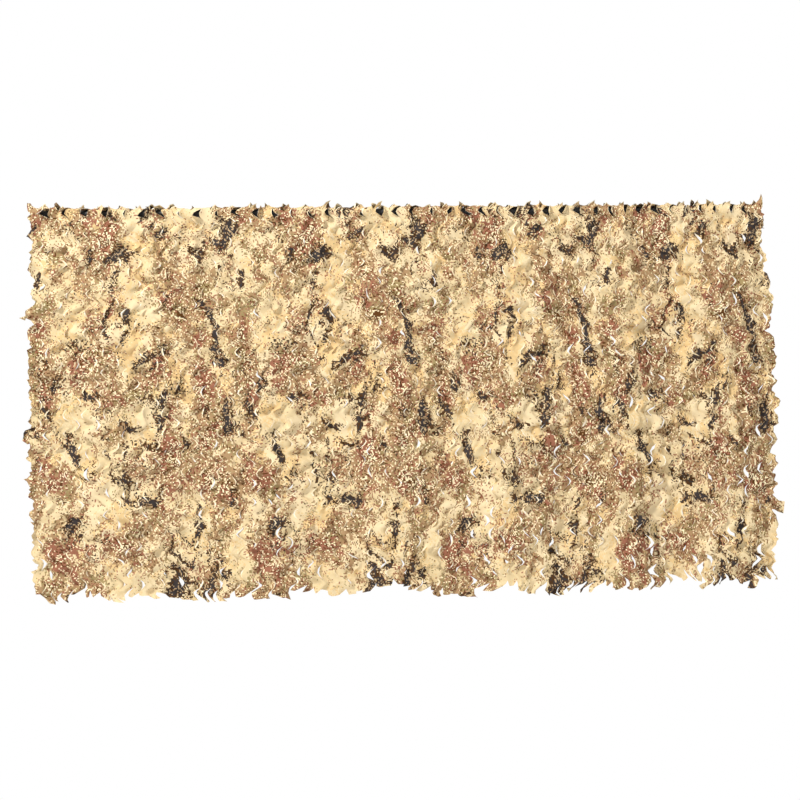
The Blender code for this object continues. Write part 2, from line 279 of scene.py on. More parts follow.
# Cloth between the cuts: how far it stands off its fold, and how many rows there are from one such
# height to the next
LINE_RELIEF = (0.009, 4)  # at the line of the cuts
BOW_RELIEF = (0.014, 5)  # midway between two lines
MOST_RELIEF = 0.016
FOREMOST = 0.043  # in front of the pole's own front, folds and relief together
ON_POLE = 0.4  # share of the relief that is left over the pole
POLE_FADE = 0.05  # past the pole, how soon it is all there
DRIFTS = (
    # how far the cloth's pull moves a place, and the strips and metres from one pull to the next
    (0.005, 2.2, 0.075),
    (0.005, 0.9, 0.030),
)
LINE_DRIFT = (0.004, 2)  # how far the line of the cuts wanders, and the rows from one turn to the next
CREASE_FADE = 0.1  # below the pole, how soon the creases are all there
CREASE_END = (0.15, 0.3)  # how soon a crease reaches its depth, and the share of it that its end has
CREASES = (
    # share of the width, drop at the upper and lower end, depth forward, half width, how far it wanders
    # right on the way down
    (0.045, 0.02, 0.62, -0.010, 0.020, 0.03),
    (0.098, 0.30, 1.36, 0.011, 0.024, -0.03),
    (0.162, 0.00, 0.85, 0.008, 0.022, 0.05),
    (0.238, 0.05, 1.10, -0.010, 0.018, 0.01),
    (0.305, 0.55, 1.36, 0.010, 0.026, -0.04),
    (0.352, 0.00, 0.52, 0.008, 0.018, 0.02),
    (0.428, 0.12, 1.36, -0.011, 0.021, 0.04),
    (0.505, 0.00, 0.78, 0.009, 0.024, -0.02),
    (0.568, 0.48, 1.36, 0.011, 0.019, 0.03),
    (0.618, 0.00, 1.02, -0.010, 0.017, -0.01),
    (0.687, 0.22, 1.36, 0.009, 0.022, 0.02),
    (0.738, 0.00, 0.66, 0.010, 0.018, 0.02),
    (0.772, 0.40, 1.36, -0.012, 0.016, 0.01),
    (0.828, 0.00, 1.25, -0.009, 0.017, 0.03),
    (0.872, 0.10, 0.90, 0.008, 0.020, -0.02),
    (0.925, 0.50, 1.36, -0.010, 0.018, 0.01),
    (0.962, 0.00, 1.36, 0.009, 0.016, 0.01),
)

# Leaves at the border: lengths in metres but for those across, which are in strips, angles in degrees
LEAF_TIP = (0.05, 0.40)  # width of a hem leaf's tip
WIDE_LEAVES = 0.25  # share of the hem's notches that are left out, so that a leaf is two strips wide
HEM_WINDOWS = (0.12, 0.5)  # metres above the hem and share of the cuts there that stand wide open
HEM_WINDOW_CURL = (45, 125)  # how far their lips bend
HEM_WINDOW_BACK = 0.6  # luck above which one of the two lips bends back
HEM_WINDOW_PARTS = 3  # parts of the other luck, which say in turn which of the two it is
LEAF_LUCK = 0.018  # how much shorter some of the leaves are, at most
LEAF_LEAN = 2.9  # how much farther to the side than its solid's a leaf's tip lies
HEM_STAND = 0.020  # how far forward a hem leaf may stand
LEAF_TWIST = 80  # degrees by which a leaf's sides may bend apart
LEAF_ROUNDNESS = (0.8, 1.7)  # from sides that draw in at once to sides that stay wide
HEM_CURL = (-30, 105)  # how far a hem leaf bends forward
SHORTEST_LEAF = 0.015  # least depth of a notch below the tips beside it
LONG_LEAF = (0.028, 0.5)  # how much deeper some of the hem's notches run, and the share that do
TIP_ROOM = 0.004  # a row nearer than this to a leaf's tip is moved to the tip
BACK_HOLD = 0.042  # how far behind the pole the rows lie level; below, they follow the back edge
SIDE_DROOP = (-0.005, 0.035)  # how far a leaf of the side edges hangs down for each strip outwards
SIDE_CURL = (90, 4)  # how far the side edges bend, and how many rows lie from one bend to the next
SIDE_JAG = (0.22, 1)  # how far, in strips, their smaller points reach in and out, and the rows between
SIDE_LUCK = (0.3, 2.2)  # by how much their leaves are longer than the solid's
SIDE_SHIFT = 0.2  # how far the edge may be moved in or out besides
SIDE_POINT = (1.8, 1.6)  # how far a leaf is drawn out, and how pointed
SIDE_CALM = 0.72  # share of the sway that the side edges don't follow
LEFT_TUFT = (0.7, -0.004, 0.018)  # strips outwards, path, how far it stands up
RIGHT_TUFT = (0.1, 0.002, 0.028)
TUFT_HALF = 0.022  # from a tuft's middle to its end
PROBE = (0.05, 0.002)  # strips and metres to the next place, which gives the cloth's directions


def row_paths():
    """The path of every row of points, from behind the pole down to the lowest tip of the hem."""
    steps = range(*HALF_PITCHES)
    paths = [QUARTER + step * ROW_PITCH / 2 + more for step in steps for more in ROW_STEPS]
    return np.array(paths)


def wavering(draw, lines, rows, step):
    """A smooth random value from -1 to 1 for every row of each line, drawn anew every few rows."""
    knots = draw.uniform(-1, 1, (lines, rows // step + 2))
    at = np.arange(rows) / step
    low = at.astype(int)
    part = smooth(at - low)
    return knots[:, low] * (1 - part) + knots[:, low + 1] * part


def patchy(draw, across, down):
    """A smooth random value from -1 to 1 that changes over one unit across and one unit down."""
    across, down = across - across.min(), down - down.min()
    knots = draw.uniform(-1, 1, (int(across.max()) + 2, int(down.max()) + 2))
    column, row = across.astype(int), down.astype(int)
    right, low = smooth(across - column), smooth(down - row)
    upper = knots[column, row] * (1 - right) + knots[column + 1, row] * right
    lower = knots[column, row + 1] * (1 - right) + knots[column + 1, row + 1] * right
    return upper * (1 - low) + lower * low


def tuft_share(path, tuft):
    """How much of a corner's tuft there is at a path, from 0 to 1."""
    return np.maximum(0, 1 - np.abs(path - tuft[1]) / TUFT_HALF)


def cut_turns(paths):
    """Which rows part at which column, and then for the left and right side of every strip in every
    row: the angle by which it bends, in radians, the share of the strip's width that bends, how far its
    lip is laid over the next one, and how much of its pale edge shows, partly raw cloth, partly painted
    highlight."""
    draw = np.random.default_rng(CURL_SEED)
    parted = np.zeros((STRIPS + 1, len(paths)), bool)
    turn = np.zeros((2, STRIPS, len(paths)))
    reach = np.full((2, STRIPS, len(paths)), CURL_REACH[1])
    lap = np.zeros((2, STRIPS, len(paths)))
    rim = np.zeros((2, STRIPS, len(paths)))
    wide_open = between(LIP_LUCK, HEM_WINDOWS[1])
    for column, path, loose, lean in cuts():
        along = (paths - path) / (CUT_LENGTH / 2)
        inner = np.abs(along) < CUT_INSIDE
        parted[column] |= inner
        tilts = HINGE_TILT * draw.uniform(-1, 1, 2)
        skews = LIP_SKEW * draw.uniform(-1, 1, 2)
        points = draw.uniform(*LIP_POINT, 2)
        vary = draw.uniform(*LIP_LUCK, 2)
        luck = draw.random(2)
        reaches = draw.uniform(*CURL_REACH, 2)
        overlap = draw.uniform(*OVERLAP) * (1 - loose)
        if abs(path - QUARTER) < SAME_PLACE:
            turns = between(WINDOW_CURL, luck)
            reaches = draw.uniform(*WINDOW_REACH, 2)
        elif path < -QUARTER:
            turns = between(BEHIND_CURL, luck)
        elif path < QUARTER:
            turns = between(OVER_POLE_CURL, luck)
            skews = OVER_POLE_SKEW + np.abs(skews)
        elif path > hem_path(column) - HEM_WINDOWS[0] and vary[0] < wide_open:
            turns = between(HEM_WINDOW_CURL, luck) * lean
            if luck[1] > HEM_WINDOW_BACK:
                turns[int(HEM_WINDOW_PARTS * luck[0]) % 2] *= -1
        else:
            tongue = between((SHUT_CURL, LOOSE_CURL), loose**LOOSE_POWER) * lean
            shares = (-EDGE_SHARE, 1.0) if column % 2 else (1.0, -EDGE_SHARE)
            turns = tongue * vary * shares
        for side, strip in ((0, column), (1, column - 1)):
            peak = np.clip(along + skews[side] * (along**2 - 1), -1, 1)
            edge = np.where(inner, np.cos(peak * math.pi / 2), 0.0)
            swell = edge ** points[side]
            turn[side, strip] += np.radians(turns[side]) * swell
            reach[side, strip, inner] = np.minimum(reaches[side] * (1 + tilts[side] * along[inner]), 1)
            # The rim carries the pale edge of the cut, partly raw cloth and partly painted highlight, and
            # its painted glints
            rim[side, strip] = np.maximum(rim[side, strip], draw.uniform(*PALE_RIM) * edge)
            if path > QUARTER + SAME_PLACE:
                lap[side, strip] += overlap * swell
    return parted, turn, reach, lap, rim


def crease_depth(share, drop):
    """How far the smaller creases stand forward of the folds."""
    total = 0.0
    fade, left_at_end = CREASE_END
    for middle, high, low, depth, half, wander in CREASES:
        off = (share - middle) * HUNG_WIDTH - wander * (drop - high) / (low - high)
        ends = smooth((drop - high) / fade + left_at_end) * smooth((low - drop) / fade + left_at_end)
        total = total + depth * np.exp(-((off / half) ** 2)) * ends
    return total


def pointed(reach):
    """How far a side edge reaches out, with its outward leaves drawn to a point."""
    longer, point = SIDE_POINT
    return np.maximum(reach, 0) ** point * longer + np.minimum(reach, 0)


def cloth_places(paths):
    """Each point's column and path on the flat cloth, its share across its strip, and how far it is
    past the notches of the hem, in arrays over strips, rows and the points across a strip. Then the
    hem's notches by column, the cloth's first row, and each strip's last row and its leaf's length."""
    notches, tips, tip_places, side_paths, left_gaps, right_gaps, rises = border()
    draw = np.random.default_rng(LEAF_SEED)
    notches = notches - LONG_LEAF[0] * (draw.random(STRIPS) < LONG_LEAF[1])
    tips = tips - LEAF_LUCK * draw.random(STRIPS) ** 2
    cut = draw.random(STRIPS) > WIDE_LEAVES
    notches[1:] = np.minimum(notches[1:], np.minimum(tips[1:], tips[:-1]) - SHORTEST_LEAF)
    left_notch = np.append(notches[1], notches[1:])[:, None]
    right_notch = np.append(notches[1:], notches[-1])[:, None]

    # The rows of the hem's leaves, spaced so that the last one lies at the leaf's tip
    path = np.tile(paths, (STRIPS, 1))
    last = np.searchsorted(paths, tips - TIP_ROOM) - 1
    held = np.searchsorted(paths, np.maximum(left_notch, right_notch)[:, 0]) - 1
    for strip in range(STRIPS):
        row = np.arange(held[strip], last[strip] + 1)
        path[strip, row] = np.linspace(paths[held[strip]], tips[strip], len(row))

    # How far across a strip's left and right edge lie: the leaves narrow from their notches to their tips
    across = np.arange(CELLS + 1) / CELLS
    past_left = np.maximum(path - left_notch, 0.0)
    past_right = np.maximum(path - right_notch, 0.0)
    middle = MIDDLE + LEAF_LEAN * (tip_places[:, None] - MIDDLE)
    length = tips[:, None] - np.stack([left_notch[:, 0], right_notch[:, 0]])[..., None]
    tip = draw.uniform(*LEAF_TIP, STRIPS)[:, None]
    power = draw.uniform(*LEAF_ROUNDNESS, (2, STRIPS))[..., None]
    left = cut[:, None] * (past_left / length[0]) ** power[0] * (middle - tip / 2)
    cut_right = np.roll(cut, -1)[:, None]
    right = 1 - (past_right / length[1]) ** power[1] * (1 - middle - tip / 2) * cut_right

    # The side edges reach in and out
    jag = SIDE_JAG[0] * wavering(draw, 2, len(paths), SIDE_JAG[1])
    count = len(side_paths)
    left_gaps = left_gaps * draw.uniform(*SIDE_LUCK, count)
    left_gaps = left_gaps - draw.uniform(-SIDE_SHIFT, SIDE_SHIFT, count)
    right_gaps = right_gaps * draw.uniform(*SIDE_LUCK, count)
    right_gaps = right_gaps - draw.uniform(-SIDE_SHIFT, SIDE_SHIFT, count)
    left_reach = pointed(np.interp(path[0], side_paths[::-1], left_gaps[::-1], left=0, right=0))
    right_reach = pointed(np.interp(path[-1], side_paths[::-1], right_gaps[::-1], left=0, right=0))
    calm = SIDE_CALM * sway(paths) / STRIP_FLAT
    left[0] -= left_reach + jag[0] + LEFT_TUFT[0] * tuft_share(path[0], LEFT_TUFT) - calm
    right[-1] += right_reach + jag[1] + RIGHT_TUFT[0] * tuft_share(path[-1], RIGHT_TUFT) + calm
    strips = np.arange(STRIPS)[:, None, None]
    column = strips + left[..., None] + (right - left)[..., None] * across
    past = past_left[..., None] * (1 - across) + past_right[..., None] * across
    path = np.repeat(path[..., None], CELLS + 1, axis=2)
    droop = draw.uniform(*SIDE_DROOP, (2, len(paths)))
    path[0] += (np.maximum(left_reach, 0) * droop[0])[:, None] * (1 - across)
    path[-1] += (np.maximum(right_reach, 0) * droop[1])[:, None] * across

    # Behind the pole the last rows spread down to the notched edge
    hold = -QUARTER - BACK_HOLD
    end = -QUARTER - BACK_FALL
    rise = np.interp(column, 2 * np.arange(len(rises)), rises)
    behind = (hold - path) / (hold - end)
    path = np.where(path < hold, hold - np.minimum(behind, 1.0) * (hold - end - rise), path)
    first = np.searchsorted(paths, end - SAME_PLACE)
    notches = np.where(cut, notches, np.inf)
    return column, path, across, past, notches, first, last, length.max(axis=0)[:, 0]


def cloth_mesh():
    """The cut cloth hung in its folds, as a mesh that still lies shut at its cuts."""
    draw = np.random.default_rng(RELIEF_SEED)
    paths = row_paths()
    rows = len(paths)
    column, path, across, past, notches, first, last, leaf = cloth_places(paths)
    parted, turns, reaches, laps, rims = cut_turns(paths)
    parted[1:STRIPS] |= paths > notches[1:, None]

    # Relief between the cuts, none of it into the pole
    line = LINE_RELIEF[0] * wavering(draw, STRIPS + 1, rows, LINE_RELIEF[1])
    bow = BOW_RELIEF[0] * wavering(draw, STRIPS, rows, BOW_RELIEF[1])
    relief = line[:-1, :, None] * (1 - across) + line[1:, :, None] * across
    relief = relief + bow[..., None] * np.sin(math.pi * across)
    drop = np.maximum(path - QUARTER, 0.0)
    relief = relief + crease_depth(share_across(column), drop) * smooth(drop / CREASE_FADE)
    relief = MOST_RELIEF * np.tanh(relief / MOST_RELIEF)
    clear = smooth((np.abs(path) - QUARTER) / POLE_FADE)
    relief = np.maximum(relief, 0) * between((ON_POLE, 1), clear) + np.minimum(relief, 0) * clear
    relief = np.minimum(relief, FOREMOST - fold_depth(share_across(column), drop))
    relief[0] += LEFT_TUFT[2] * tuft_share(path[0], LEFT_TUFT) * (1 - across)
    relief[-1] += RIGHT_TUFT[2] * tuft_share(path[-1], RIGHT_TUFT) * across

    place = hung(column, path)
    toward_right = hung(column + PROBE[0], path) - place
    toward_hem = hung(column, path + PROBE[1]) - place
    forward = np.cross(toward_hem, toward_right)
    for way in (toward_right, toward_hem, forward):
        way /= np.linalg.norm(way, axis=-1, keepdims=True)
    place = place + forward * relief[..., None]
    for drift, wide, tall in DRIFTS:
        place[..., 0] += drift * patchy(draw, column / wide, path / tall)
        place[..., 2] += drift * patchy(draw, column / wide, path / tall) * clear
    wander = LINE_DRIFT[0] * wavering(draw, STRIPS + 1, rows, LINE_DRIFT[1])[..., None]
    place[..., 0] += wander[:-1] * (1 - across) + wander[1:] * across

    # How each point bends: its distance from the hinge, and the angle turned through up to it
    free = np.radians(SIDE_CURL[0]) * (paths > BEHIND_TOP)
    turns[0, 0] += free * wavering(draw, 1, rows, SIDE_CURL[1])[0]
    turns[1, -1] += free * wavering(draw, 1, rows, SIDE_CURL[1])[0]
    begin, fade = BACKWARD_BELOW
    room = smooth((paths - QUARTER - begin) / fade) + BACKWARD_BEHIND * (paths < -QUARTER)
    hem_turn = np.minimum(np.radians(draw.uniform(*HEM_CURL, STRIPS)), 2 * HEM_STAND / leaf)
    twist = np.radians(LEAF_TWIST) * draw.uniform(-1, 1, STRIPS)
    hem_turn = hem_turn[:, None, None] + twist[:, None, None] * (across - MIDDLE)
    most = np.where(paths < BEHIND_TOP, np.radians(BEHIND_CURL[1]), np.inf)
    turns = np.clip(turns, 0, most) + np.minimum(turns, 0) * room
    bends = {"rim": 0.0}
    for side, name, inwards in ((0, "left lip", across), (1, "right lip", 1 - across)):
        bent = np.maximum(reaches[side][..., None] - inwards, 0)
        bends[name + " reach"] = bent * STRIP_FLAT
        bends[name + " angle"] = turns[side][..., None] * bent / reaches[side][..., None]
        out = laps[side][..., None] * bent / reaches[side][..., None]
        bends["rim"] = bends["rim"] + rims[side][..., None] * (inwards == 0)
        place += toward_right * (out if side else -out)[..., None]
    bends["hem leaf reach"] = past
    bends["hem leaf angle"] = hem_turn * past / leaf[:, None, None]

    # Points that neighbouring strips share, and the faces
    order = np.arange(path.size).reshape(path.shape)
    point = order.copy()
    for strip in range(1, STRIPS):
        whole = ~parted[strip]
        point[strip, whole, 0] = order[strip - 1, whole, CELLS]
    row = np.arange(rows - 1)
    kept = (row >= first) & (row < last[:, None])
    corners = (point[:, :-1, :-1], point[:, 1:, :-1], point[:, 1:, 1:], point[:, :-1, 1:])
    faces = np.stack([corner[kept] for corner in corners], axis=-1).reshape(-1, 4)
    used, faces = np.unique(faces, return_inverse=True)
    faces = faces.reshape(-1, 4)

    mesh = bpy.data.meshes.new("netting cloth")
    mesh.from_pydata(place.reshape(-1, 3)[used].tolist(), [], faces.tolist())
    flat = np.stack([column * STRIP_FLAT - sway(path), -path, 0 * path], axis=-1)
    ways = {"cloth": flat, "toward right": toward_right, "toward hem": toward_hem, "forward": forward}
    for name, values in ways.items():
        layer = mesh.attributes.new(name, "FLOAT_VECTOR", "POINT")
        layer.data.foreach_set("vector", values.reshape(-1, 3)[used].ravel())
    for name, values in bends.items():
        layer = mesh.attributes.new(name, "FLOAT", "POINT")
        layer.data.foreach_set("value", values.ravel()[used])
    across_all = (column.ravel()[used] + UV_MARGIN) / (STRIPS + 2 * UV_MARGIN)
    down_all = (path.ravel()[used] + QUARTER + BACK_FALL) / FLAT_SIZE[1]
    spread = mesh.uv_layers.new(name="OFBake")
    places = np.stack([across_all, 1 - down_all], axis=-1)
    spread.data.foreach_set("uv", places[faces.ravel()].ravel())
    return mesh


def add(tree, kind, inputs=None, **settings):
    """Adds a node with its settings, and gives its inputs values, or links from a socket or from the
    first output of a node."""
    node = tree.nodes.new(kind)
    for name, value in settings.items():
        setattr(node, name, value)
    for socket, value in (inputs or {}).items():
        if isinstance(value, bpy.types.Node):
            value = value.outputs[0]
        if isinstance(value, bpy.types.NodeSocket):
            tree.links.new(value, node.inputs[socket])
        else:
            node.inputs[socket].default_value = value
    return node


# Kinds of node
MATHS = "ShaderNodeMath"
VECTOR_MATHS = "ShaderNodeVectorMath"
MIX = "ShaderNodeMix"
MIX_UNDER = 6  # its sockets for colours
MIX_OVER = 7
MIXED = 2
RANGE = "ShaderNodeMapRange"
BLOTS = "ShaderNodeTexNoise"
SPECKS = "ShaderNodeTexWhiteNoise"
NAMED = "GeometryNodeInputNamedAttribute"

LEAST_ANGLE = 1e-4  # added to every angle, so that nothing is divided by nought
CRUMPLE_DETAIL = 1.0
CURL_SIZES = {"Curl": 1.0, "Crumple height": 0.016, "Crumples per metre": 42.0, "Crumple seed": 3.7}


def curl_tree():
    """A node tree that bends cut cloth at its lips and hem leaves, and crumples it a little."""
    tree = bpy.data.node_groups.new("curl of cut cloth", "GeometryNodeTree")
    tree.is_modifier = True
    sockets = (
        ("Geometry", "INPUT", "NodeSocketGeometry"),
        ("Curl", "INPUT", "NodeSocketFloat"),
        ("Crumple height", "INPUT", "NodeSocketFloat"),
        ("Crumples per metre", "INPUT", "NodeSocketFloat"),
        ("Crumple seed", "INPUT", "NodeSocketFloat"),
        ("Cloth", "INPUT", "NodeSocketMaterial"),
        ("Geometry", "OUTPUT", "NodeSocketGeometry"),
    )
    for name, side, kind in sockets:
        tree.interface.new_socket(name, in_out=side, socket_type=kind)
    given = add(tree, "NodeGroupInput").outputs

    forward = add(tree, NAMED, {"Name": "forward"}, data_type="FLOAT_VECTOR")
    cloth = add(tree, NAMED, {"Name": "cloth"}, data_type="FLOAT_VECTOR")
    where = {
        "Vector": cloth,
        "W": given["Crumple seed"],
        "Scale": given["Crumples per metre"],
        "Detail": CRUMPLE_DETAIL,
    }
    crumple = add(tree, BLOTS, where, noise_dimensions="4D")
    uneven = add(tree, MATHS, {0: crumple, 1: MIDDLE}, operation="SUBTRACT")
    stand = add(tree, MATHS, {0: uneven, 1: given["Crumple height"]}, operation="MULTIPLY")
    moved = add(tree, VECTOR_MATHS, {0: forward, "Scale": stand}, operation="SCALE")
    flaps = (
        ("left lip", "toward right", 1.0),
        ("right lip", "toward right", -1.0),
        ("hem leaf", "toward hem", -1.0),
    )
    for name, way, sign in flaps:
        reach = add(tree, NAMED, {"Name": name + " reach"}, data_type="FLOAT")
        full_angle = add(tree, NAMED, {"Name": name + " angle"}, data_type="FLOAT")
        inwards = add(tree, NAMED, {"Name": way}, data_type="FLOAT_VECTOR")
        turned = add(tree, MATHS, {0: full_angle, 1: given["Curl"]}, operation="MULTIPLY")
        angle = add(tree, MATHS, {0: turned, 1: LEAST_ANGLE}, operation="ADD")
        sine = add(tree, MATHS, {0: angle}, operation="SINE")
        cosine = add(tree, MATHS, {0: angle}, operation="COSINE")
        # Bent round an arc by an angle a, a point draws back by reach (1 - sin a / a) and rises by
        # reach (1 - cos a) / a
        along = add(tree, MATHS, {0: sine, 1: angle}, operation="DIVIDE")
        short = add(tree, MATHS, {0: 1.0, 1: along}, operation="SUBTRACT")
        signed = add(tree, MATHS, {0: reach, 1: sign}, operation="MULTIPLY")
        back = add(tree, MATHS, {0: short, 1: signed}, operation="MULTIPLY")
        fall = add(tree, MATHS, {0: 1.0, 1: cosine}, operation="SUBTRACT")
        slope = add(tree, MATHS, {0: fall, 1: angle}, operation="DIVIDE")
        rise = add(tree, MATHS, {0: slope, 1: reach}, operation="MULTIPLY")
        moved = add(tree, VECTOR_MATHS, {0: inwards, 1: back, 2: moved}, operation="MULTIPLY_ADD")
        moved = add(tree, VECTOR_MATHS, {0: forward, 1: rise, 2: moved}, operation="MULTIPLY_ADD")
    bent = add(tree, "GeometryNodeSetPosition", {"Geometry": given["Geometry"], "Offset": moved})
    real = add(tree, "GeometryNodeRealizeInstances", {"Geometry": bent})
    dressed = add(tree, "GeometryNodeSetMaterial", {"Geometry": real, "Material": given["Cloth"]})
    add(tree, "NodeGroupOutput", {"Geometry": dressed})
    return tree


def build_netting(cloth):
    """The netting, bent by its node tree and made a plain mesh again."""
    flat = bpy.data.objects.new("flat netting", cloth_mesh())
    bpy.context.scene.collection.objects.link(flat)
    tree = curl_tree()
    curl = flat.modifiers.new("curl", "NODES")
    curl.node_group = tree
    values = {**CURL_SIZES, "Cloth": cloth}
    for item in tree.interface.items_tree:
        if item.in_out == "INPUT" and item.name in values:
            curl[item.identifier] = values[item.name]
    bent = flat.evaluated_get(bpy.context.evaluated_depsgraph_get())
    mesh = bpy.data.meshes.new_from_object(bent)
    bpy.data.objects.remove(flat, do_unlink=True)
    mesh.name = "netting cloth"
    mesh.shade_smooth()
    netting = bpy.data.objects.new("netting_cloth", mesh)
    bpy.context.scene.collection.objects.link(netting)
    return netting


# Printed cloth: the print is made of small square blocks and comes round again every repeat
BLOCK = 0.0040
REPEAT = 186 * BLOCK
SAND = "#dbc497"
BROWN_BLOTS = (8.5, 1.3, 1.7, 0.4)  # per metre, how much taller than wide, noise seed, how torn
BLOT_DETAIL = 4.0
BLOT_ROUGHNESS = 0.66
FLECK_RARITY = 5.0
INKS = (
    # colour, blots per metre, how much taller than wide, noise seed, how much they follow the brown
    # blots, how far they must rise, flecks, fleck seed, how torn the blots are
    ("#dcbc86", 7.0, 1.0, 20.3, 0.0, 0.565, 0.12, 11.0, 0.4),
    ("#e2cca2", 9.0, 1.0, 4.1, 0.0, 0.545, 0.10, 1.0, 0.4),
    ("#a6855f", 9.0, 1.3, 0.0, 1.0, 0.529, 0.10, 2.0, 0.4),
    ("#9a865a", 13.0, 1.0, 31.7, 0.5, 0.582, 0.12, 12.0, 0.4),
    ("#956149", 12.0, 1.2, 12.8, 0.5, 0.578, 0.12, 5.0, 0.4),
    ("#f3e1b8", 9.0, 1.3, 0.0, 1.0, 0.685, 0.24, 3.0, 0.4),
    ("#5c3812", 9.0, 1.3, 0.0, 1.0, 0.710, 0.26, 4.0, 0.4),
    ("#4a2f12", 7.5, 1.3, 15.5, 0.0, 0.594, 0.075, 7.0, 1.2),
    ("#38312f", 7.5, 1.3, 15.5, 0.0, 0.622, 0.08, 8.0, 1.2),
    ("#b39772", 7.5, 1.3, 15.5, 0.0, 0.735, 0.27, 9.0, 1.2),
)
RAW_EDGE_AND_HIGHLIGHT = "#f2dfb8"  # partly the undyed cloth where a cut shows its thickness, partly a painted highlight of the lit cut edges
RAW_EDGE_AND_HIGHLIGHT_FROM = (0.42, 0.85)  # where it begins and is whole, on the scale of PALE_RIM
PAINTED_GLINT = "#ffffff"  # painted glints: white painted along the cuts where their curled edges would catch the light
PAINTED_GLINT_FROM = (0.75, 1.2)  # the same for the painted glints, on that scale times the luck of their block
PAINTED_GLINT_SEED = 13.0
CLOTH_ROUGHNESS = (0.70, 0.86)  # bare cloth and cloth under most ink
POLYESTER_IOR = 1.54
CLOTH_GLOSS = 0.2  # the weave breaks up most of the shine of its threads
THREAD = 0.0012  # a pair of threads; the real ones, 0.4 mm, are too fine to show, so these are coarser
WEAVE_HEIGHT = THREAD / 8
WEAVE_STRENGTH = 0.35


def linear(colour):
    """An sRGB hex colour as linear red, green, blue and alpha, by the curve of the sRGB standard."""
    parts = [int(colour[i : i + 2], 16) / 255 for i in (1, 3, 5)]
    return (*[p / 12.92 if p <= 0.04045 else ((p + 0.055) / 1.055) ** 2.4 for p in parts], 1.0)


